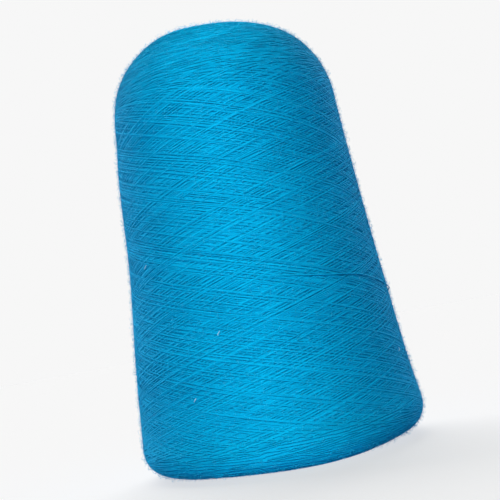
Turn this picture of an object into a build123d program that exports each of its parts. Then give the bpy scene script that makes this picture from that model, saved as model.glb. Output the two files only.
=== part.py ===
from build123d import *
import math
import os

# A cone of yarn: a tapered paper core, and the yarn wound on it from near its foot to its nose.
# The cone stands upright. Its axis is Z, pointing to the nose, and the origin is the centre of the
# core's foot, in the plane that the foot stands on. Lengths are in millimetres.

# Paper core
half_angle = 4 + 20 / 60           # degrees: the taper of the core and of the winding
core_length = 170.0
core_foot_radius = 31.0            # outside
core_wall = 3.0
nose_lip_rounding = 1.2            # the rolled lip at the nose
fullest_lip = 0.45                 # of the wall: the most that its two roundings can each take
foot_trim_chamfer = 0.6            # the trimmed edges at the foot

# Wound yarn
bare_foot = 2.5                    # the core's foot stands out of the winding by this much
winding_foot_radius = 56.75        # the straight side line, carried down to the lower face
winding_side_length = 133.0        # along the axis, from the lower face to the start of the dome
crest_below_nose = 0.2             # from the end of the core down to the top of the dome
winding_foot_rounding = 9.6        # the rounded edge at the foot
side_hollow = 0.9                  # the side is slacker halfway up than at its hard ends

taper = math.tan(math.radians(half_angle))


def core_radius(height):
    """Outside radius of the core at a height above its foot."""
    return core_foot_radius - taper * height


def winding_radius(height):
    """Radius of the winding's straight side line at a height above the core's foot."""
    return winding_foot_radius - taper * (height - bare_foot)


def make_core_cone():
    """The paper tube: one tapered wall with a rolled lip at the nose and a trimmed foot."""
    nose_radius = core_radius(core_length)
    with BuildPart() as core:
        with BuildSketch(Plane.XZ):
            with BuildLine():
                Polyline(
                    (core_foot_radius - core_wall, 0),
                    (core_foot_radius, 0),
                    (nose_radius, core_length),
                    (nose_radius - core_wall, core_length),
                    close=True,
                )
            make_face()
        revolve(axis=Axis.Z)
        nose_rims = core.edges().filter_by(GeomType.CIRCLE).group_by(Axis.Z)[-1]
        fillet(nose_rims, radius=min(nose_lip_rounding, fullest_lip * core_wall))
        foot_rims = core.edges().filter_by(GeomType.CIRCLE).group_by(Axis.Z)[0]
        chamfer(foot_rims, length=foot_trim_chamfer)
    return core.part


def make_yarn_package():
    """The wound yarn: flat lower face, rounded edge, slightly hollow side and a domed nose."""
    shoulder_height = bare_foot + winding_side_length
    crest_height = core_length - crest_below_nose
    crest_radius = core_radius(crest_height)
    foot = Vector(winding_foot_radius, bare_foot)
    shoulder = Vector(winding_radius(shoulder_height), shoulder_height)
    inward = Vector(-1, -taper).normalized()
    with BuildPart() as winding:
        with BuildSketch(Plane.XZ):
            with BuildLine():
                seat_foot = (core_radius(bare_foot), bare_foot)
                Line(seat_foot, foot)
                ThreePointArc(foot, (foot + shoulder) / 2 + inward * side_hollow, shoulder)
                EllipticalCenterArc(
                    center=(crest_radius, shoulder_height),
                    x_radius=shoulder.X - crest_radius,
                    y_radius=crest_height - shoulder_height,
                    start_angle=0,
                    arc_size=90,
                )
                Line((crest_radius, crest_height), seat_foot)
            outline = make_face()
            fillet(outline.vertices().sort_by_distance(foot)[0], radius=winding_foot_rounding)
        revolve(axis=Axis.Z)
    return winding.part


os.makedirs("parts", exist_ok=True)
export_step(make_core_cone(), "parts/core_cone.step")
export_step(make_yarn_package(), "parts/yarn_package.step")
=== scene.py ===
import math

import bpy
import numpy as np
from mathutils import Matrix, Vector


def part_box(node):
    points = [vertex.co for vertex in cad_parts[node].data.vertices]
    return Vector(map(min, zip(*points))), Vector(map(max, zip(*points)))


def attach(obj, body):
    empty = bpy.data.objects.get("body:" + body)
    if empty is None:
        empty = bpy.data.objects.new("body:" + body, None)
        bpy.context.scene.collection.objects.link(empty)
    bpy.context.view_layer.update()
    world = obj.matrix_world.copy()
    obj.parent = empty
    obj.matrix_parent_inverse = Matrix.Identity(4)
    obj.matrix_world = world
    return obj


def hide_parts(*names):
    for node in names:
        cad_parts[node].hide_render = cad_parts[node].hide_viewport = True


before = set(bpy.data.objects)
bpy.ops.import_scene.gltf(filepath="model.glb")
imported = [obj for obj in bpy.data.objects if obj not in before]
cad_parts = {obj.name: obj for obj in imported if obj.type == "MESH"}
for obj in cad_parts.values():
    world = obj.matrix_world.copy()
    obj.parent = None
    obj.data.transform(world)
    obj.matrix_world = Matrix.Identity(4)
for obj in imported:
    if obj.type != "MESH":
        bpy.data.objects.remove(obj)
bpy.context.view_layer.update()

# A cone of worsted yarn, standing on its foot. The winding is worked out in millimetres, on a grid
# that runs round the cone and along its outline, and goes into Blender in metres.
MM = 0.001

# ---------------------------------------------------------------- sizes, in millimetres and radians
HALF_ANGLE = math.radians(4 + 20 / 60)
TAPER = math.tan(HALF_ANGLE)
yarn_low, yarn_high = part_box("yarn_package")
BARE_FOOT = yarn_low.z / MM
CREST = yarn_high.z / MM
CORE_FOOT_RADIUS = 31.0
WINDING_FOOT_RADIUS = 56.75
SIDE_LENGTH = 133.0
FOOT_ROUNDING = 9.6
SIDE_HOLLOW = 0.9

STRAND_WIDTH = 0.65        # the yarn as it lies, pressed a little flat
STRAND_THICKNESS = 0.32
STRAND_SIDES = 5
PLY_TWIST_LENGTH = 2.6     # one full turn of the two plies
WIND_ANGLE = math.radians(14.5)
STROKES = 1480             # passes of the yarn guide, up and down, in the layers that show
NOSE_ARCS = 420            # arcs where the strokes under those turned round, at each end
FOOT_ARCS = 260
NOSE_REACH = 20.0          # how far past the shoulder the last strokes turn round
FOOT_REACH = 7.0           # and how far past the foot's edge
NOSE_SLOWING = 0.10        # share of a stroke over which the guide slows down before it turns
FOOT_SLOWING = 0.17

STRAND_LIFT = -0.45        # the outermost strands: the true outline is the edge of the fibres
CROSSING = 0.06            # how much deeper a strand lies where another crosses over it
DEEPEST = 0.29             # no strand that shows is pressed in further
# These four go by place: at the foot's edge, low on the side, high on the side, and on the dome. The ends
# are wound harder than the side, so the strands there sink in less, lie flatter and wander less.
GIVE = (0.15, 0.8, 0.65, 0.1)                # share of the depth to which a strand sinks in
PRESS = (0.18, 0.78, 0.56, 0.18)             # share of its thickness that a strand keeps
CALM = (0.3, 1.0, 1.0, 0.3)                  # share of its drift to each side
BODY_LIFTS = (-0.76, -0.98, -0.88, -0.81)    # the closed body that stands for the buried layers

# The bloom of fibre ends. Real wool fibres are 0.02 mm thick, too fine to show, so these are coarser.
FIBRES = 0.85              # per square millimetre
FIBRE_LENGTH = 1.7
FIBRE_THICKNESS = 0.065
FIBRE_PIECES = 6
TABLE_GAP = 2.2            # the fibres get shorter below this height, so that none reaches under the table

# specks of undyed fibre: angle in degrees, height, columns spanned, and curl
LINT = (
    (-144, 80.0, 7, 0.5),
    (-122.5, 29.5, 4, 0.2),
    (-108.5, 51.3, 4, -0.2),
    (-27.4, 33.0, 5, 0.3),
    (60.0, 100.0, 6, 0.4),
    (120.0, 45.0, 5, -0.3),
)
LINT_WIDTH = 0.2
LINT_THICKNESS = 0.18

# the running end of the yarn, drawn over the last strokes: where it starts, stops, rises and is kinked
END_START = math.radians(-84)
END_STOP = math.radians(45)
END_RISE = math.radians(-42)
END_KINK = math.radians(-13)
END_HEIGHT = 65.0          # its height at END_LEVEL, and how much it falls from there for each radian
END_LEVEL = math.radians(-65)
END_FALL = 7.7
END_PROUD = 0.28           # how far it stands out past the other strands
KINK_PROUD = 0.7

BOARD_PLY = 0.5            # one ply of the core's paper

COLUMNS = 1024             # steps round the cone
COLUMN_ANGLE = 2 * math.pi / COLUMNS
ROW_STEP = 0.28            # steps along the outline
STEP = 6                   # columns between the points of a strand
LAYER_POINTS = 17500       # points in one piece, which keep it under 200,000 triangles
SKIN_COLUMNS = 256         # steps round the closed body
SKIN_ROW = 4               # outline rows to one row of it
SEED = 7

rng = np.random.default_rng(SEED)


# ---------------------------------------------------------------- outline of the winding
def winding_outline():
    """Points (radius, height) from the core at the foot, out, up the side and over to the core again."""
    shoulder_height = BARE_FOOT + SIDE_LENGTH
    shoulder_radius = WINDING_FOOT_RADIUS - TAPER * SIDE_LENGTH
    foot = np.array([WINDING_FOOT_RADIUS, BARE_FOOT])
    shoulder = np.array([shoulder_radius, shoulder_height])
    side = shoulder - foot
    length = np.linalg.norm(side)
    lean = HALF_ANGLE + math.atan(4 * SIDE_HOLLOW / length)
    setback = FOOT_ROUNDING * math.tan((math.pi / 2 + lean) / 2)
    face = np.linspace(0, 1, 60)[:, None]
    face_start = np.array([CORE_FOOT_RADIUS - TAPER * BARE_FOOT, BARE_FOOT])
    face_end = foot - np.array([setback, 0])
    face_points = face_start + (face_end - face_start) * face
    turn = np.linspace(-math.pi / 2, lean, 60)[1:]
    corner = face_end + np.array([0, FOOT_ROUNDING])
    corner_points = corner + FOOT_ROUNDING * np.stack([np.cos(turn), np.sin(turn)], 1)
    t = np.linspace(setback / length, 1, 300)[1:, None]
    inward = np.array([-math.cos(HALF_ANGLE), -math.sin(HALF_ANGLE)])
    side_points = foot + side * t + inward * 4 * SIDE_HOLLOW * t * (1 - t)
    crest_radius = CORE_FOOT_RADIUS - TAPER * CREST
    rise = np.linspace(0, math.pi / 2, 120)[1:]
    dome_points = np.stack([
        crest_radius + (shoulder_radius - crest_radius) * np.cos(rise),
        shoulder_height + (CREST - shoulder_height) * np.sin(rise),
    ], 1)
    return np.concatenate([face_points, corner_points, side_points, dome_points])


def by_length(points, step):
    """The outline at even steps of its own length: the lengths, and (radius, height) there."""
    gone = np.concatenate([[0], np.cumsum(np.linalg.norm(np.diff(points, axis=0), axis=1))])
    at = np.arange(0, gone[-1], step)
    return at, np.stack([np.interp(at, gone, points[:, i]) for i in (0, 1)], 1)


def softening(at, reach):
    """A matrix that averages values at the places `at` over about `reach` to each side."""
    weight = np.exp(-0.5 * ((at[:, None] - at[None, :]) / reach) ** 2)
    return weight / weight.sum(1, keepdims=True)


outline_at, outline = by_length(winding_outline(), ROW_STEP)
ROWS = len(outline_at)
OUTLINE_LENGTH = outline_at[-1]
softened = softening(outline_at, 1.2) @ outline
slope = np.gradient(softened, outline_at, axis=0)
slope /= np.linalg.norm(slope, axis=1, keepdims=True)
facing = np.stack([slope[:, 1], -slope[:, 0]], 1)          # outward, as (radius, height)


def along_at_height(height):
    """How far along the outline the winding is at this height, from the foot's edge up."""
    side = (outline_at > 20) & (outline_at < OUTLINE_LENGTH - 2)
    return np.interp(height, outline[side, 1], outline_at[side])


SHOULDER_AT = along_at_height(BARE_FOOT + SIDE_LENGTH)
CORNER_AT = along_at_height(BARE_FOOT + FOOT_ROUNDING)


# ---------------------------------------------------------------- how even the winding is
# slow waves: how many to one round, how many to a millimetre of outline, how high, and where they start
lumps = [
    (
        int(rng.integers(0, 6)),
        rng.uniform(0.5, 5.0) / OUTLINE_LENGTH,
        rng.normal(0, 0.06),
        rng.uniform(0, 6.28),
    )
    for _ in range(26)
]
# full places and hollow ones: where they are round the cone and along the outline, how far they swell,
# and how far they reach each way
SWELLS = [
    {"angle": math.radians(-22), "along": along_at_height(14.0), "swell": 0.9, "round": 0.28, "up": 8.0},
    {"angle": math.radians(-86), "along": CORNER_AT - 13.5, "swell": 2.9, "round": 1.2, "up": 7.5},
    {"angle": math.radians(-100), "along": CORNER_AT - 7, "swell": 1.2, "round": 1.1, "up": 4.5},
    {"angle": math.radians(180), "along": SHOULDER_AT + 4, "swell": -1.2, "round": 0.6, "up": 16.0},
    {"angle": math.radians(-118), "along": SHOULDER_AT + 40, "swell": 1.2, "round": 0.5, "up": 9.0},
    {"angle": 0.0, "along": along_at_height(108.0), "swell": -0.8, "round": 50.0, "up": 26.0},
]
EVEN_RIM = 6.0             # next to the core the winding gets even


def unevenness(angle, along):
    """How far the winding swells past its true outline, from changes in tension."""
    swell = 0
    for turns, waves, amount, start in lumps:
        swell = swell + amount * np.sin(turns * angle + 2 * math.pi * waves * along + start)
    for spot in SWELLS:
        away = (angle - spot["angle"] + math.pi) % (2 * math.pi) - math.pi
        up = along - spot["along"]
        swell = swell + spot["swell"] * np.exp(-(away / spot["round"]) ** 2 - (up / spot["up"]) ** 2)
    return swell


def place(angle, along, lift):
    """Points in metres on the winding, `lift` millimetres out from its surface, and the way out there."""
    radius = np.interp(along, outline_at, outline[:, 0])
    height = np.interp(along, outline_at, outline[:, 1])
    out_radius = np.interp(along, outline_at, facing[:, 0])
    out_height = np.interp(along, outline_at, facing[:, 1])
    fade = np.clip(np.minimum(along, OUTLINE_LENGTH - along) / EVEN_RIM, 0, 1)
    lift = lift + unevenness(angle, along) * fade
    radius = radius + out_radius * lift
    height = height + out_height * lift
    points = np.stack([radius * np.cos(angle), radius * np.sin(angle), height], -1) * MM
    out = np.stack([out_radius * np.cos(angle), out_radius * np.sin(angle), out_height], -1)
    return points, out


# ---------------------------------------------------------------- winding the yarn
def wander(count, reach, amount):
    """Smooth random drift along a strand, with a new aim every `reach` columns."""
    knots = max(4, int(count / reach) + 3)
    return np.interp(np.linspace(0, knots - 1, count), np.arange(knots), rng.normal(0, amount, knots))


def guide_travel(count):
    """The yarn guide's way from one end to the other, 0 to 1: even in the middle, slowing to turn round."""
    t = np.linspace(0, 1, count)
    speed = np.clip(np.minimum(t / FOOT_SLOWING, (1 - t) / NOSE_SLOWING), 0, 1)
    speed = speed * speed * (3 - 2 * speed)
    way = np.cumsum(speed)
    return (way - way[0]) / (way[-1] - way[0])


def strand(first_column, along):
    """One strand: a point at each column that it passes, and its own tone and thickness."""
    return {
        "first": first_column,
        "columns": (first_column + np.arange(len(along))) % COLUMNS,
        "along": np.clip(along, 0.5, OUTLINE_LENGTH - 0.5),
        "shade": rng.normal(0, 1),
        "girth": rng.uniform(0.92, 1.08),
    }


def by_zone(along, values):
    """Four values spread over the winding: foot's edge, low on the side, high on the side, and dome."""
    return np.interp(along, [CORNER_AT, CORNER_AT + 22, SHOULDER_AT - 2, SHOULDER_AT + 10], values)


def turn_rounds(places, inward_sign):
    """Arcs where the guide turned: nearly level round the cone, their ends running into the side."""
    for at in places:
        reach = rng.uniform(1.1, 1.9)
        count = int(2 * reach / COLUMN_ANGLE)
        angle = np.linspace(-reach, reach, count)
        sag = rng.uniform(1.6, 3.4)
        along = at + inward_sign * sag * angle ** 2 + wander(count, 60, 0.06)
        yield strand(int(rng.integers(COLUMNS)), along)


def strokes():
    """Whole strokes of the guide, up and down in turn, which cross on the side of the cone."""
    mean_radius = 50.0
    ends = 0.17            # turns more, in which the guide turns round
    turns_needed = (SHOULDER_AT - CORNER_AT) / (2 * math.pi * mean_radius * math.tan(WIND_ANGLE)) + ends
    start = 0.0
    for stroke in range(STROKES):
        done = stroke / STROKES
        # each stroke is a little shorter than the one before, at both ends, which rounds them
        nose_end = SHOULDER_AT + NOSE_REACH - 9 * done + rng.normal(0, 2.4)
        foot_end = CORNER_AT - FOOT_REACH + 3 * done + rng.normal(0, 1.6)
        turns = turns_needed * (1 + rng.normal(0, 0.004))
        count = int(turns * COLUMNS)
        travel = guide_travel(count)
        if stroke % 2:
            travel = 1 - travel
        along = foot_end + (nose_end - foot_end) * travel
        along = along + wander(count, 90, 0.22) * by_zone(along, CALM)
        yield strand(int(start * COLUMNS) % COLUMNS, along)
        # the start creeps round the cone, faster and slower, so that strands lie in ribbons
        creep = 0.0092 + 0.003 * math.sin(stroke / 23.0) + rng.normal(0, 0.0012)
        start = (start + turns + creep * (stroke % 2)) % 1.0


def running_end():
    """The running end of the yarn: it stands a little proud, and springs up at its kink."""
    angle = np.arange(END_START, END_STOP, COLUMN_ANGLE)
    hump = np.exp(-((angle - END_RISE) / 0.25) ** 2)
    kink = np.exp(-((angle - END_KINK) / 0.12) ** 2)
    height = END_HEIGHT - END_FALL * (angle - END_LEVEL) + 1.2 * hump - 1.0 * kink
    item = strand(int(END_START / COLUMN_ANGLE) % COLUMNS, along_at_height(height))
    middle = len(angle) / 2
    ends = np.clip((middle - np.abs(np.arange(len(angle)) - middle)) / 60, 0, 1)
    item["proud"] = END_PROUD * ends + KINK_PROUD * kink
    return item


def settle(wound):
    """Presses the strands together, the last one wound first: it lies on the surface, and each older one
    dips under what crosses it. Gives each its depth, and which of its points show."""
    reached = np.zeros((COLUMNS, ROWS))      # how deep the strands placed so far reach
    taken = np.zeros((COLUMNS, ROWS), bool)
    half = STRAND_WIDTH / 2 / math.cos(WIND_ANGLE)
    offsets = np.linspace(-half, half, 5)
    bridge = np.hanning(15)[1:-1]            # a strand is too stiff to dip sharply, so its depth is eased
    shown = []
    for item in reversed(wound):
        row = item["along"] / ROW_STEP
        columns = item["columns"]
        cells = [np.clip(np.round(row + off / ROW_STEP).astype(int), 0, ROWS - 1) for off in offsets]
        over = np.max([reached[columns, rows] for rows in cells[1:4]], axis=0)
        over = np.pad(over, 3, mode="edge")
        over = np.max([over[i:i + len(row)] for i in range(7)], axis=0)
        over = np.convolve(np.pad(over, 6, mode="edge"), bridge / bridge.sum(), mode="valid")
        item["depth"] = np.minimum(over, DEEPEST) * by_zone(item["along"], GIVE)
        item["seen"] = ~np.all([taken[columns, rows] for rows in cells[1:4]], axis=0)
        for off, rows in zip(offsets, cells):
            crown = math.sqrt(max(0.0, 1 - (off / half) ** 2))
            deep = item["depth"] + CROSSING * (0.5 + 0.5 * crown)
            reached[columns, rows] = np.maximum(reached[columns, rows], deep)
            taken[columns, rows] = True
        if item["seen"].any():
            shown.append(item)
    return shown[::-1]


nose_arcs = np.linspace(OUTLINE_LENGTH - 0.6, SHOULDER_AT + 6, NOSE_ARCS) + rng.normal(0, 0.8, NOSE_ARCS)
wound = list(turn_rounds(nose_arcs, -1))
foot_arcs = np.linspace(0.8, CORNER_AT - 4, FOOT_ARCS) + rng.normal(0, 0.5, FOOT_ARCS)
wound += turn_rounds(foot_arcs, 1)
wound += strokes()
wound.append(running_end())
strands = settle(wound)
strands[-1]["depth"] = strands[-1]["depth"] - strands[-1]["proud"]


# ---------------------------------------------------------------- from strands to meshes
def shown_runs(item, step):
    """Stretches of a strand that show, as slices, each running a little way under its neighbours."""
    spread_seen = np.convolve(item["seen"], np.ones(2 * step + 1), mode="same") > 0.5
    edges = np.flatnonzero(np.diff(np.concatenate([[0], spread_seen.astype(int), [0]])))
    return [slice(a, b) for a, b in edges.reshape(-1, 2) if b - a > 3 * step]


def path_mesh(name, chosen, step=STEP):
    """The middle lines of the chosen strands as one mesh of edges, with what the tubes read at each point."""
    points, outs, shades, girths, presses, links = [], [], [], [], [], []
    count = 0
    for item in chosen:
        for run in shown_runs(item, step):
            picked = np.unique(np.append(np.arange(run.start, run.stop, step), run.stop - 1))
            angle = (item["first"] + picked) * COLUMN_ANGLE
            lift = STRAND_LIFT - STRAND_THICKNESS / 2 - item["depth"][picked]
            where, out = place(angle, item["along"][picked], lift)
            points.append(where)
            outs.append(out)
            shades.append(np.full(len(picked), item["shade"]))
            girths.append(item["girth"] * (1 + wander(len(picked), 3, 0.05)))
            presses.append(by_zone(item["along"][picked], PRESS))
            links.append(np.stack([np.arange(count, count + len(picked) - 1)] * 2, 1) + [0, 1])
            count += len(picked)
    mesh = bpy.data.meshes.new(name)
    links = np.concatenate(links)
    mesh.vertices.add(count)
    mesh.vertices.foreach_set("co", np.concatenate(points).ravel())
    mesh.edges.add(len(links))
    mesh.edges.foreach_set("vertices", links.ravel())
    for label, kind, values in (
        ("facing", "FLOAT_VECTOR", np.concatenate(outs)),
        ("shade", "FLOAT", np.concatenate(shades)),
        ("girth", "FLOAT", np.concatenate(girths)),
        ("press", "FLOAT", np.concatenate(presses)),
    ):
        layer = mesh.attributes.new(label, kind, "POINT")
        layer.data.foreach_set("vector" if kind == "FLOAT_VECTOR" else "value", values.ravel())
    mesh.update()
    return mesh


def add(tree, kind, links=None, **settings):
    """Adds a node with its settings. In `links`, an input gets a plain value or another node's output."""
    node = tree.nodes.new(kind)
    for name, value in settings.items():
        setattr(node, name, value)
    for name, value in (links or {}).items():
        if isinstance(value, bpy.types.NodeSocket):
            tree.links.new(value, node.inputs[name])
        else:
            node.inputs[name].default_value = value
    return node


def linear(code):
    """An sRGB hex colour as linear numbers, with an alpha of one."""
    parts = [int(code[i:i + 2], 16) / 255 for i in (0, 2, 4)]
    return (*(c / 12.92 if c <= 0.04045 else ((c + 0.055) / 1.055) ** 2.4 for c in parts), 1.0)


def geometry_tree(name, inputs):
    """An empty Geometry Nodes tree with these named inputs: the tree, its input node and its output node."""
    tree = bpy.data.node_groups.new(name, "GeometryNodeTree")
    tree.interface.new_socket("Geometry", in_out="INPUT", socket_type="NodeSocketGeometry")
    for label, kind in inputs:
        tree.interface.new_socket(label, in_out="INPUT", socket_type=kind)
    tree.interface.new_socket("Geometry", in_out="OUTPUT", socket_type="NodeSocketGeometry")
    return tree, add(tree, "NodeGroupInput"), add(tree, "NodeGroupOutput")


def run_tree(name, mesh, tree, values):
    """Runs a tree on a mesh and returns the result as a plain object."""
    source = bpy.data.objects.new(name + "_path", mesh)
    bpy.context.scene.collection.objects.link(source)
    modifier = source.modifiers.new("Shape", "NODES")
    modifier.node_group = tree
    for item in tree.interface.items_tree:
        if item.in_out == "INPUT" and item.name in values:
            modifier[item.identifier] = values[item.name]
    graph = bpy.context.evaluated_depsgraph_get()
    graph.update()
    result = bpy.data.meshes.new_from_object(source.evaluated_get(graph), depsgraph=graph)
    result.name = name
    bpy.data.objects.remove(source)
    bpy.data.meshes.remove(mesh)
    piece = bpy.data.objects.new(name, result)
    bpy.context.scene.collection.objects.link(piece)
    return piece


def cleared(owner):
    """The node tree of a material or a world, emptied."""
    owner.use_nodes = True
    owner.node_tree.nodes.clear()
    return owner.node_tree


def strand_tree():
    """Makes each line of the input into a flattened round strand whose flat side lies on the winding."""
    tree, given, result = geometry_tree("wound_strands", [
        ("Width", "NodeSocketFloat"), ("Thickness", "NodeSocketFloat"), ("Sides", "NodeSocketInt"),
        ("Material", "NodeSocketMaterial"),
    ])
    facing = add(tree, "GeometryNodeInputNamedAttribute", {"Name": "facing"}, data_type="FLOAT_VECTOR")
    girth = add(tree, "GeometryNodeInputNamedAttribute", {"Name": "girth"}, data_type="FLOAT")
    line = add(tree, "GeometryNodeMeshToCurve", {"Mesh": given.outputs["Geometry"]})
    turned = add(tree, "GeometryNodeSetCurveNormal", {
        "Curve": line.outputs["Curve"], "Normal": facing.outputs["Attribute"]}, mode="FREE")
    sized = add(tree, "GeometryNodeSetCurveRadius", {
        "Curve": turned.outputs["Curve"], "Radius": girth.outputs["Attribute"]})
    gone = add(tree, "GeometryNodeSplineParameter")
    measured = add(tree, "GeometryNodeStoreNamedAttribute", {
        "Geometry": sized.outputs["Curve"], "Name": "run", "Value": gone.outputs["Length"]}, domain="POINT")
    circle = add(tree, "GeometryNodeCurvePrimitiveCircle", {
        "Resolution": given.outputs["Sides"], "Radius": 0.5})
    place_in = add(tree, "GeometryNodeInputPosition")
    section = add(tree, "GeometryNodeStoreNamedAttribute", {
        "Geometry": circle.outputs["Curve"], "Name": "section", "Value": place_in.outputs["Position"]},
        data_type="FLOAT_VECTOR", domain="POINT")
    flat = add(tree, "ShaderNodeCombineXYZ", {
        "X": given.outputs["Thickness"], "Y": given.outputs["Width"], "Z": 1.0})
    pressed = add(tree, "GeometryNodeTransform", {
        "Geometry": section.outputs["Geometry"], "Scale": flat.outputs["Vector"]})
    tube = add(tree, "GeometryNodeCurveToMesh", {
        "Curve": measured.outputs["Geometry"], "Profile Curve": pressed.outputs["Geometry"],
        "Fill Caps": True})
    # each point moves towards the strand's middle along the way out, by how hard the strand is pressed there
    profile = add(tree, "GeometryNodeInputNamedAttribute", {"Name": "section"}, data_type="FLOAT_VECTOR")
    height_in = add(tree, "ShaderNodeSeparateXYZ", {"Vector": profile.outputs["Attribute"]})
    press = add(tree, "GeometryNodeInputNamedAttribute", {"Name": "press"}, data_type="FLOAT")
    less = add(tree, "ShaderNodeMath", {0: press.outputs["Attribute"], 1: 1.0}, operation="SUBTRACT")
    full = add(tree, "ShaderNodeMath", {
        0: height_in.outputs["X"], 1: given.outputs["Thickness"]}, operation="MULTIPLY")
    change = add(tree, "ShaderNodeMath", {0: full.outputs[0], 1: less.outputs[0]}, operation="MULTIPLY")
    offset = add(tree, "ShaderNodeVectorMath", {
        0: facing.outputs["Attribute"], "Scale": change.outputs[0]}, operation="SCALE")
    pressed_tube = add(tree, "GeometryNodeSetPosition", {
        "Geometry": tube.outputs["Mesh"], "Offset": offset.outputs["Vector"]})
    smooth = add(tree, "GeometryNodeSetShadeSmooth", {"Geometry": pressed_tube.outputs["Geometry"]})
    real = add(tree, "GeometryNodeRealizeInstances", {"Geometry": smooth.outputs["Geometry"]})
    painted = add(tree, "GeometryNodeSetMaterial", {
        "Geometry": real.outputs["Geometry"], "Material": given.outputs["Material"]})
    tree.links.new(painted.outputs["Geometry"], result.inputs["Geometry"])
    return tree


# ---------------------------------------------------------------- materials
WOOL_IOR = 1.55
YARN_RELIEF = 0.32         # how strongly the plies and fibres show on a round strand
MOTTLE_SIZE = 9.0          # patches of dye that are a little fuller or paler
FIBRE_SIZE = 0.5           # tufts of fibre: single ones are 0.02 mm, too fine to show


# Worsted wool, combed, spun in two plies and dyed. The eye gets a matt surface of one even colour, with
# small changes of tone from strand to strand, a fine twist, and a pale sheen where it turns away.
def worsted_yarn():
    """The wound yarn: its colour by strand and by patch, and the twist of its plies as relief."""
    material = bpy.data.materials.new("worsted_wool_dyed_turquoise")
    tree = cleared(material)
    place_in = add(tree, "ShaderNodeTexCoord")
    shade = add(tree, "ShaderNodeAttribute", attribute_name="shade")
    mottle = add(tree, "ShaderNodeTexNoise", {
        "Vector": place_in.outputs["Object"], "Scale": 1 / (MOTTLE_SIZE * MM), "Detail": 3.0})
    fibre = add(tree, "ShaderNodeTexNoise", {
        "Vector": place_in.outputs["Object"], "Scale": 1 / (FIBRE_SIZE * MM), "Detail": 2.0})
    strand_part = add(tree, "ShaderNodeMath", {
        0: shade.outputs["Fac"], 1: 0.10, 2: 0.5}, operation="MULTIPLY_ADD")
    mottle_part = add(tree, "ShaderNodeMath", {
        0: mottle.outputs["Fac"], 1: 0.5, 2: -0.25}, operation="MULTIPLY_ADD")
    fibre_part = add(tree, "ShaderNodeMath", {
        0: fibre.outputs["Fac"], 1: 0.5, 2: -0.25}, operation="MULTIPLY_ADD")
    sum_one = add(tree, "ShaderNodeMath", {
        0: strand_part.outputs[0], 1: mottle_part.outputs[0]}, operation="ADD")
    tone = add(tree, "ShaderNodeMath", {0: sum_one.outputs[0], 1: fibre_part.outputs[0]}, operation="ADD")
    colour = add(tree, "ShaderNodeValToRGB", {"Fac": tone.outputs[0]})
    ramp = colour.color_ramp.elements
    ramp[0].position, ramp[0].color = 0.2, linear("048dbc")
    ramp[1].position, ramp[1].color = 0.8, linear("05a5d4")
    # the two plies: a stripe that turns round the strand as it runs along
    run = add(tree, "ShaderNodeAttribute", attribute_name="run")
    section = add(tree, "ShaderNodeAttribute", attribute_name="section")
    across = add(tree, "ShaderNodeSeparateXYZ", {"Vector": section.outputs["Vector"]})
    phase = add(tree, "ShaderNodeMath", {
        0: run.outputs["Fac"], 1: 2 * math.pi / (PLY_TWIST_LENGTH * MM)}, operation="MULTIPLY")
    turn_x = add(tree, "ShaderNodeMath", {0: phase.outputs[0]}, operation="COSINE")
    turn_y = add(tree, "ShaderNodeMath", {0: phase.outputs[0]}, operation="SINE")
    part_x = add(tree, "ShaderNodeMath", {0: across.outputs["X"], 1: turn_x.outputs[0]}, operation="MULTIPLY")
    both = add(tree, "ShaderNodeMath", {
        0: across.outputs["Y"], 1: turn_y.outputs[0], 2: part_x.outputs[0]}, operation="MULTIPLY_ADD")
    ply = add(tree, "ShaderNodeMath", {0: both.outputs[0]}, operation="ABSOLUTE")
    relief = add(tree, "ShaderNodeMath", {
        0: fibre.outputs["Fac"], 1: 0.5, 2: ply.outputs[0]}, operation="MULTIPLY_ADD")
    press = add(tree, "ShaderNodeAttribute", attribute_name="press")
    bump_strength = add(tree, "ShaderNodeMath", {
        0: press.outputs["Fac"], 1: YARN_RELIEF}, operation="MULTIPLY")
    bump = add(tree, "ShaderNodeBump", {
        "Height": relief.outputs[0], "Strength": bump_strength.outputs[0], "Distance": 0.25 * MM})
    surface = add(tree, "ShaderNodeBsdfPrincipled", {
        "Base Color": colour.outputs["Color"], "Roughness": 0.75, "IOR": WOOL_IOR,
        "Specular IOR Level": 0.05, "Specular Tint": linear("00bcf9"), "Sheen Weight": 0.35,
        "Sheen Roughness": 0.25, "Sheen Tint": linear("40c8f0"), "Normal": bump.outputs["Normal"]})
    add(tree, "ShaderNodeOutputMaterial", {"Surface": surface.outputs["BSDF"]})
    return material


def in_layers(items):
    """The strands in the order they were wound, in layers small enough for one piece each."""
    layer, points = [], 0
    for item in items:
        layer.append(item)
        points += sum(run.stop - run.start for run in shown_runs(item, STEP)) / STEP
        if points > LAYER_POINTS:
            yield layer
            layer, points = [], 0
    yield layer


def skin(name, lifts, closed):
    """The winding's surface as a mesh, lifted by zone; a closed one also runs back along the core."""
    at = np.append(outline_at[::SKIN_ROW], OUTLINE_LENGTH)
    angle = np.arange(SKIN_COLUMNS) * 2 * math.pi / SKIN_COLUMNS
    grid_angle, grid_at = np.meshgrid(angle, at, indexing="ij")
    points, _ = place(grid_angle, grid_at, by_zone(grid_at, lifts))
    rows = len(at)
    faces = []
    for i in range(SKIN_COLUMNS):
        j = (i + 1) % SKIN_COLUMNS
        for k in range(rows if closed else rows - 1):
            n = (k + 1) % rows
            faces.append((i * rows + k, j * rows + k, j * rows + n, i * rows + n))
    mesh = bpy.data.meshes.new(name)
    mesh.from_pydata(points.reshape(-1, 3).tolist(), [], faces)
    mesh.shade_smooth()
    return mesh


def plain_piece(mesh, material):
    """A mesh as an object in the scene, with its material."""
    mesh.materials.append(material)
    piece = bpy.data.objects.new(mesh.name, mesh)
    bpy.context.scene.collection.objects.link(piece)
    return piece


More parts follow.
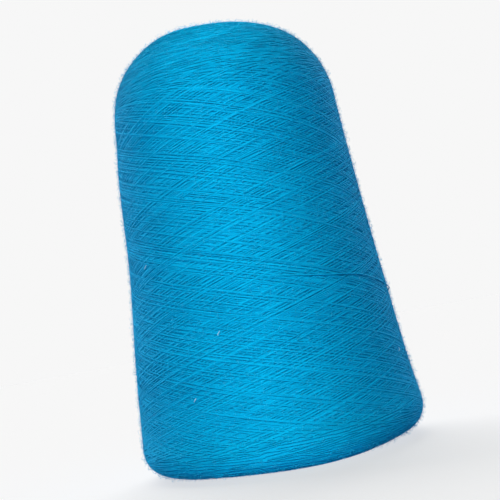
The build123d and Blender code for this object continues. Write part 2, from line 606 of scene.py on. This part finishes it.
def fibre_tree():
    """Scatters short curved fibres over a surface: the bloom of ends and loops that stand off spun yarn."""
    tree, given, result = geometry_tree("fibre_bloom", [
        ("Fibres per Square Metre", "NodeSocketFloat"), ("Length", "NodeSocketFloat"),
        ("Thickness", "NodeSocketFloat"), ("Seed", "NodeSocketInt"), ("Material", "NodeSocketMaterial"),
    ])
    spots = add(tree, "GeometryNodeDistributePointsOnFaces", {
        "Mesh": given.outputs["Geometry"], "Density": given.outputs["Fibres per Square Metre"],
        "Seed": given.outputs["Seed"]}, distribute_method="RANDOM")
    bow = add(tree, "GeometryNodeCurveQuadraticBezier", {
        "Resolution": 2, "Start": (0, 0, 0), "Middle": (0.15, 0.1, 0.8), "End": (0.7, -0.1, 0.5)})
    gone = add(tree, "GeometryNodeSplineParameter")
    thin = add(tree, "ShaderNodeMath", {0: gone.outputs["Factor"], 1: -0.6, 2: 1.0}, operation="MULTIPLY_ADD")
    tapered = add(tree, "GeometryNodeSetCurveRadius", {
        "Curve": bow.outputs["Curve"], "Radius": thin.outputs[0]})
    slim = add(tree, "ShaderNodeMath", {
        0: given.outputs["Thickness"], 1: given.outputs["Length"]}, operation="DIVIDE")
    half = add(tree, "ShaderNodeMath", {0: slim.outputs[0], 1: 0.5}, operation="MULTIPLY")
    circle = add(tree, "GeometryNodeCurvePrimitiveCircle", {"Resolution": 3, "Radius": half.outputs[0]})
    fibre = add(tree, "GeometryNodeCurveToMesh", {
        "Curve": tapered.outputs["Curve"], "Profile Curve": circle.outputs["Curve"], "Fill Caps": True})
    lean = add(tree, "FunctionNodeRandomValue", {
        "Min": (-0.7, -0.7, 0.0), "Max": (0.7, 0.7, 2 * math.pi), "Seed": given.outputs["Seed"]},
        data_type="FLOAT_VECTOR")
    turned = add(tree, "FunctionNodeRotateRotation", {
        "Rotation": spots.outputs["Rotation"], "Rotate By": lean.outputs[0]}, rotation_space="LOCAL")
    chance = add(tree, "FunctionNodeRandomValue", {2: 0.0, 3: 1.0, "Seed": given.outputs["Seed"]})
    few_long = add(tree, "ShaderNodeMath", {0: chance.outputs[1], 1: 3.0}, operation="POWER")
    size = add(tree, "ShaderNodeMath", {0: few_long.outputs[0], 1: 0.8, 2: 0.5}, operation="MULTIPLY_ADD")
    # the nearer a fibre stands to the table, the shorter it is
    spot = add(tree, "GeometryNodeInputPosition")
    spot_parts = add(tree, "ShaderNodeSeparateXYZ", {"Vector": spot.outputs["Position"]})
    room_below = add(tree, "ShaderNodeMapRange", {
        "Value": spot_parts.outputs["Z"], "From Min": 0.0, "From Max": TABLE_GAP * MM, "To Min": 0.1,
        "To Max": 1.0})
    free = add(tree, "ShaderNodeMath", {0: size.outputs[0], 1: room_below.outputs[0]}, operation="MULTIPLY")
    scale = add(tree, "ShaderNodeMath", {
        0: free.outputs[0], 1: given.outputs["Length"]}, operation="MULTIPLY")
    sown = add(tree, "GeometryNodeInstanceOnPoints", {
        "Points": spots.outputs["Points"], "Instance": fibre.outputs["Mesh"],
        "Rotation": turned.outputs["Rotation"], "Scale": scale.outputs[0]})
    tone = add(tree, "FunctionNodeRandomValue", {2: -1.5, 3: 1.5, "Seed": given.outputs["Seed"]})
    toned = add(tree, "GeometryNodeStoreNamedAttribute", {
        "Geometry": sown.outputs["Instances"], "Name": "shade", "Value": tone.outputs[1]}, domain="INSTANCE")
    real = add(tree, "GeometryNodeRealizeInstances", {"Geometry": toned.outputs["Geometry"]})
    painted = add(tree, "GeometryNodeSetMaterial", {
        "Geometry": real.outputs["Geometry"], "Material": given.outputs["Material"]})
    tree.links.new(painted.outputs["Geometry"], result.inputs["Geometry"])
    return tree


# Loose wool fibre in the same dye, painted paler than the yarn: the paleness is painted light, standing in
# for the light that comes through single fibres.
def loose_fibre():
    """The bloom's fibres, each with a tone of its own."""
    material = bpy.data.materials.new("loose_wool_fibre_dyed_turquoise")
    tree = cleared(material)
    shade = add(tree, "ShaderNodeAttribute", attribute_name="shade")
    tone = add(tree, "ShaderNodeMath", {0: shade.outputs["Fac"], 1: 0.33, 2: 0.5}, operation="MULTIPLY_ADD")
    colour = add(tree, "ShaderNodeValToRGB", {"Fac": tone.outputs[0]})
    ramp = colour.color_ramp.elements
    # both ends of the ramp are paler than the yarn's dye: painted light, for the light that comes through the
    # fibres
    ramp[0].color = linear("10a0cc")
    ramp[1].color = linear("2cb8e0")
    surface = add(tree, "ShaderNodeBsdfPrincipled", {
        "Base Color": colour.outputs["Color"], "Roughness": 0.5, "IOR": WOOL_IOR,
        "Specular IOR Level": 0.12})
    add(tree, "ShaderNodeOutputMaterial", {"Surface": surface.outputs["BSDF"]})
    return material


# Undyed wool fibre that was caught as the yarn was wound: near white, and matt.
def undyed_fibre():
    """The specks on the winding."""
    material = bpy.data.materials.new("stray_undyed_wool_fibre")
    tree = cleared(material)
    place_in = add(tree, "ShaderNodeTexCoord")
    mottle = add(tree, "ShaderNodeTexNoise", {"Vector": place_in.outputs["Object"], "Scale": 1 / (0.4 * MM)})
    colour = add(tree, "ShaderNodeValToRGB", {"Fac": mottle.outputs["Fac"]})
    ramp = colour.color_ramp.elements
    ramp[0].color = linear("8cc8dc")
    ramp[1].color = linear("dcf0f6")
    surface = add(tree, "ShaderNodeBsdfPrincipled", {"Base Color": colour.outputs["Color"], "Roughness": 0.7})
    add(tree, "ShaderNodeOutputMaterial", {"Surface": surface.outputs["BSDF"]})
    return material


def lint():
    """The specks of undyed fibre, as short strands that lie on the winding."""
    for angle, height, columns, curl in LINT:
        t = np.linspace(-1, 1, columns)
        along = along_at_height(height) + 0.6 * t + curl * t * t
        item = strand(int(math.radians(angle) / COLUMN_ANGLE) % COLUMNS, along)
        item["depth"] = -0.45 + 0.3 * t * t
        item["seen"] = np.ones(columns, bool)
        yield item


# Grey paperboard, made from waste paper and wound in glued plies on a cone. The eye gets a matt, clouded
# surface with flecks of fibre, and the plies as rings where the ends are cut.
def core_board():
    """The core's board."""
    material = bpy.data.materials.new("spiral_wound_grey_paperboard")
    tree = cleared(material)
    place_in = add(tree, "ShaderNodeTexCoord")
    pulp = add(tree, "ShaderNodeTexNoise", {
        "Vector": place_in.outputs["Object"], "Scale": 1 / (6 * MM), "Detail": 6.0, "Roughness": 0.7})
    fleck = add(tree, "ShaderNodeTexNoise", {
        "Vector": place_in.outputs["Object"], "Scale": 1 / (0.8 * MM), "Detail": 2.0})
    # rings about the axis, one for each ply: the wave repeats every 2 pi / 20 of its own length
    plies = add(tree, "ShaderNodeTexWave", {
        "Vector": place_in.outputs["Object"], "Scale": math.pi / (10 * BOARD_PLY * MM), "Distortion": 1.5,
        "Detail": 2.0}, wave_type="RINGS", rings_direction="Z")
    some = add(tree, "ShaderNodeMath", {
        0: fleck.outputs["Fac"], 1: 0.45, 2: -0.22}, operation="MULTIPLY_ADD")
    rings = add(tree, "ShaderNodeMath", {
        0: plies.outputs["Fac"], 1: 0.22, 2: -0.11}, operation="MULTIPLY_ADD")
    sum_one = add(tree, "ShaderNodeMath", {0: pulp.outputs["Fac"], 1: some.outputs[0]}, operation="ADD")
    tone = add(tree, "ShaderNodeMath", {0: sum_one.outputs[0], 1: rings.outputs[0]}, operation="ADD")
    colour = add(tree, "ShaderNodeValToRGB", {"Fac": tone.outputs[0]})
    ramp = colour.color_ramp.elements
    ramp[0].position, ramp[0].color = 0.25, linear("8f8573")
    ramp[1].position, ramp[1].color = 0.75, linear("c2b7a3")
    relief = add(tree, "ShaderNodeMath", {
        0: fleck.outputs["Fac"], 1: 0.6, 2: plies.outputs["Fac"]}, operation="MULTIPLY_ADD")
    bump = add(tree, "ShaderNodeBump", {"Height": relief.outputs[0], "Strength": 0.3, "Distance": 0.15 * MM})
    surface = add(tree, "ShaderNodeBsdfPrincipled", {
        "Base Color": colour.outputs["Color"], "Roughness": 0.85, "IOR": 1.5, "Specular IOR Level": 0.3,
        "Normal": bump.outputs["Normal"]})
    add(tree, "ShaderNodeOutputMaterial", {"Surface": surface.outputs["BSDF"]})
    return material


# The yarn's map has the turn round the cone one way. The other way it has how steeply a point is seen
# from beyond the axis, which keeps growing from the foot's face over the side to the nose.
MAP_EYE_HEIGHT = 80.0
MAP_EYE_BEYOND = 60.0
MAP_LOWEST = 0.75          # radians below level
MAP_SPAN = 1.65            # radians from there to the highest
MAP_TURN = 1.05            # turns, as faces over the seam reach past one


def bake_map(piece):
    """Writes the piece's map."""
    mesh = piece.data
    points = np.empty(len(mesh.vertices) * 3)
    mesh.vertices.foreach_get("co", points)
    points = points.reshape(-1, 3) / MM
    corners = np.empty(len(mesh.loops), int)
    mesh.loops.foreach_get("vertex_index", corners)
    starts = np.empty(len(mesh.polygons), int)
    mesh.polygons.foreach_get("loop_start", starts)
    sizes = np.diff(np.append(starts, len(corners)))
    x, y, z = points[corners].T
    u = (np.arctan2(y, x) / (2 * math.pi)) % 1.0
    over = np.repeat(np.maximum.reduceat(u, starts), sizes) - u > 0.5     # on a face that crosses the seam
    v = np.arctan2(z - MAP_EYE_HEIGHT, np.hypot(x, y) + MAP_EYE_BEYOND)
    layer = mesh.uv_layers.new(name="OFBake")
    layer.data.foreach_set("uv", np.stack([(u + over) / MAP_TURN, (v + MAP_LOWEST) / MAP_SPAN], 1).ravel())


# ---------------------------------------------------------------- the pieces
yarn = worsted_yarn()
fuzz = loose_fibre()
tubes = strand_tree()
fibres = fibre_tree()
yarn_pieces = [plain_piece(skin("winding_body", BODY_LIFTS, True), yarn)]
for index, layer in enumerate(in_layers(strands), start=1):
    name = f"winding_layer_{index}"
    yarn_pieces.append(run_tree(name, path_mesh(name + "_lines", layer), tubes, {
        "Width": STRAND_WIDTH * MM, "Thickness": STRAND_THICKNESS * MM, "Sides": STRAND_SIDES,
        "Material": yarn}))
for index in range(1, FIBRE_PIECES + 1):
    name = f"fibre_bloom_{index}"
    ground = skin(name + "_ground", [STRAND_LIFT - STRAND_THICKNESS / 2] * 4, False)
    yarn_pieces.append(run_tree(name, ground, fibres, {
        "Fibres per Square Metre": FIBRES / FIBRE_PIECES / MM ** 2, "Length": FIBRE_LENGTH * MM,
        "Thickness": FIBRE_THICKNESS * MM, "Seed": index, "Material": fuzz}))
yarn_pieces.append(run_tree("stray_fibres", path_mesh("stray_lines", list(lint()), step=1), tubes, {
    "Width": LINT_WIDTH * MM, "Thickness": LINT_THICKNESS * MM, "Sides": STRAND_SIDES,
    "Material": undyed_fibre()}))
for piece in yarn_pieces:
    bake_map(piece)
    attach(piece, "root")
    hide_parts("yarn_package")
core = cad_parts["core_cone"]
core.data.materials.clear()
core.data.materials.append(core_board())

# ---------------------------------------------------------------- floor, light and camera
BRIGHT = 0.93              # the floor and the room behind it
FLOOR_REACH = 400.0        # metres
FLOOR_SHADE = (0.265, 0.255, 0.25)      # how much darker the table is in the shadow of its lamp
ROOM_LIGHT = 0.21
ROOM_FALL = 0.22           # how much more of it comes from below and less from above
TABLE_GLOW = 0.5           # what comes straight up off the table besides
ROOM_COLOUR = (0.3, 0.6, 0.96)
NEAR_WHITE = (1.0, 1.0, 0.95)
KEY_AZIMUTH = math.radians(-96)
KEY_HEIGHT = math.radians(27)
# suns: azimuth, height, strength, how wide the sun is, and colour
SUNS = {
    "key": (KEY_AZIMUTH, KEY_HEIGHT, 1.95, math.radians(30), NEAR_WHITE),
    "fill_left": (math.radians(140), math.radians(25), 3.4, math.radians(40), (0.45, 0.85, 0.95)),
    "fill_right": (math.radians(45), math.radians(25), 2.3, math.radians(40), (0.5, 0.76, 0.92)),
}
# the table's own lamp, as above: the other lamps leave the table out, so that it stays even and pale
TABLE_LAMP = (math.radians(104), math.radians(38), 4.0, math.radians(70), (1.0, 1.0, 1.0))
# a gridded strip light beside the key, upright, which aims at the middle of the cone
STRIP_POWER = 0.063        # watts
STRIP_AWAY = 0.40
STRIP_SIZE = (0.02, 0.42)
STRIP_SPREAD = math.radians(16)
STRIP_AIM = Vector((0, 0, 0.085))


def direction(azimuth, height):
    """A way in space, one metre long."""
    level = math.cos(height)
    return Vector((level * math.cos(azimuth), level * math.sin(azimuth), math.sin(height)))


def lamp(name, kind, towards, **settings):
    """A light that stands the way `towards` and shines back from there."""
    data = bpy.data.lights.new(name, kind)
    for label, value in settings.items():
        setattr(data, label, value)
    piece = bpy.data.objects.new(name, data)
    piece.rotation_euler = towards.to_track_quat("Z", "Y").to_euler()
    bpy.context.scene.collection.objects.link(piece)
    return piece


def table():
    """The floor: its paint takes the shadow of the table's lamp, and its own glow brings it up to BRIGHT."""
    paint = bpy.data.materials.new("white_light_table")
    tree = cleared(paint)
    by_lamp = TABLE_LAMP[2] * math.sin(TABLE_LAMP[1]) / math.pi
    by_room = [(ROOM_LIGHT - ROOM_FALL * 2 / 3) * c for c in ROOM_COLOUR]
    paint_colour = [shade / by_lamp for shade in FLOOR_SHADE]
    own = [BRIGHT - c * (by_lamp + room_part) for c, room_part in zip(paint_colour, by_room)]
    shaded = add(tree, "ShaderNodeBsdfDiffuse", {"Color": (*paint_colour, 1)})
    glow = add(tree, "ShaderNodeEmission", {"Color": (*own, 1)})
    both = add(tree, "ShaderNodeAddShader", {0: shaded.outputs["BSDF"], 1: glow.outputs["Emission"]})
    add(tree, "ShaderNodeOutputMaterial", {"Surface": both.outputs["Shader"]})
    mesh = bpy.data.meshes.new("floor")
    corners = [(x * FLOOR_REACH, y * FLOOR_REACH, 0) for x, y in ((-1, -1), (1, -1), (1, 1), (-1, 1))]
    mesh.from_pydata(corners, [], [(0, 1, 2, 3)])
    floor = plain_piece(mesh, paint)
    floor.visible_diffuse = False
    floor.visible_glossy = False
    return floor


def room():
    """The room: even and pale to look at, dim and bluish as light, with what the table sends up."""
    world = bpy.data.worlds.new("soft_room")
    tree = cleared(world)
    ray = add(tree, "ShaderNodeLightPath")
    way = add(tree, "ShaderNodeTexCoord")
    way_parts = add(tree, "ShaderNodeSeparateXYZ", {"Vector": way.outputs["Generated"]})
    falling = add(tree, "ShaderNodeMath", {
        0: way_parts.outputs["Z"], 1: -ROOM_FALL, 2: ROOM_LIGHT}, operation="MULTIPLY_ADD")
    below = add(tree, "ShaderNodeMath", {0: way_parts.outputs["Z"], 1: 0.0}, operation="MINIMUM")
    squared = add(tree, "ShaderNodeMath", {
        0: below.outputs[0], 1: way_parts.outputs["Z"]}, operation="MULTIPLY")
    rising = add(tree, "ShaderNodeMath", {
        0: squared.outputs[0], 1: TABLE_GLOW, 2: falling.outputs[0]}, operation="MULTIPLY_ADD")
    dim = add(tree, "ShaderNodeBackground", {"Color": (*ROOM_COLOUR, 1), "Strength": rising.outputs[0]})
    seen = add(tree, "ShaderNodeBackground", {"Color": (1, 1, 1, 1), "Strength": BRIGHT})
    either = add(tree, "ShaderNodeMixShader", {
        0: ray.outputs["Is Camera Ray"], 1: dim.outputs["Background"], 2: seen.outputs["Background"]})
    add(tree, "ShaderNodeOutputWorld", {"Surface": either.outputs["Shader"]})
    bpy.context.scene.world = world


def lamps(floor):
    """The suns, the table's lamp and the strip. Only the table's lamp lights the floor, and only that."""
    lit = [
        lamp(name, "SUN", direction(azimuth, height), energy=strength, angle=width, color=colour)
        for name, (azimuth, height, strength, width, colour) in {**SUNS, "table_lamp": TABLE_LAMP}.items()
    ]
    towards = direction(KEY_AZIMUTH, KEY_HEIGHT)
    strip = lamp(
        "strip", "AREA", towards, energy=STRIP_POWER, color=NEAR_WHITE, shape="RECTANGLE",
        size=STRIP_SIZE[0], size_y=STRIP_SIZE[1], spread=STRIP_SPREAD,
    )
    strip.location = STRIP_AIM + towards * STRIP_AWAY
    strip.visible_camera = False
    for piece in (*lit, strip):
        reached = bpy.data.collections.new("reached_by_" + piece.name)
        reached.objects.link(floor)
        state = "INCLUDE" if piece.name == "table_lamp" else "EXCLUDE"
        reached.collection_objects[0].light_linking.link_state = state
        piece.light_linking.receiver_collection = reached


CAMERA_AWAY = 387.45
CAMERA_HEIGHT = 46.64
CAMERA_TURN = (0.05, 5.24, -10.67)      # degrees: to the right, up, and rolled
CAMERA_VIEW = math.radians(28.96)


def camera():
    """The camera, low in front of the cone and rolled to one side."""
    yaw, pitch, roll = (math.radians(turned) for turned in CAMERA_TURN)
    ahead = Vector((math.sin(yaw) * math.cos(pitch), math.cos(yaw) * math.cos(pitch), math.sin(pitch)))
    level_right = Vector((math.cos(yaw), -math.sin(yaw), 0))
    level_up = level_right.cross(ahead)
    right = math.cos(roll) * level_right + math.sin(roll) * level_up
    up = -math.sin(roll) * level_right + math.cos(roll) * level_up
    data = bpy.data.cameras.new("camera")
    data.angle = CAMERA_VIEW
    data.clip_start = 0.01
    data.clip_end = 1000
    eye = bpy.data.objects.new("camera", data)
    turn = Matrix((right, up, -ahead)).transposed()
    eye.matrix_world = Matrix.Translation((0, -CAMERA_AWAY * MM, CAMERA_HEIGHT * MM)) @ turn.to_4x4()
    bpy.context.scene.collection.objects.link(eye)
    bpy.context.scene.camera = eye


lamps(table())
room()
camera()
bpy.context.scene.view_settings.view_transform = "Standard"
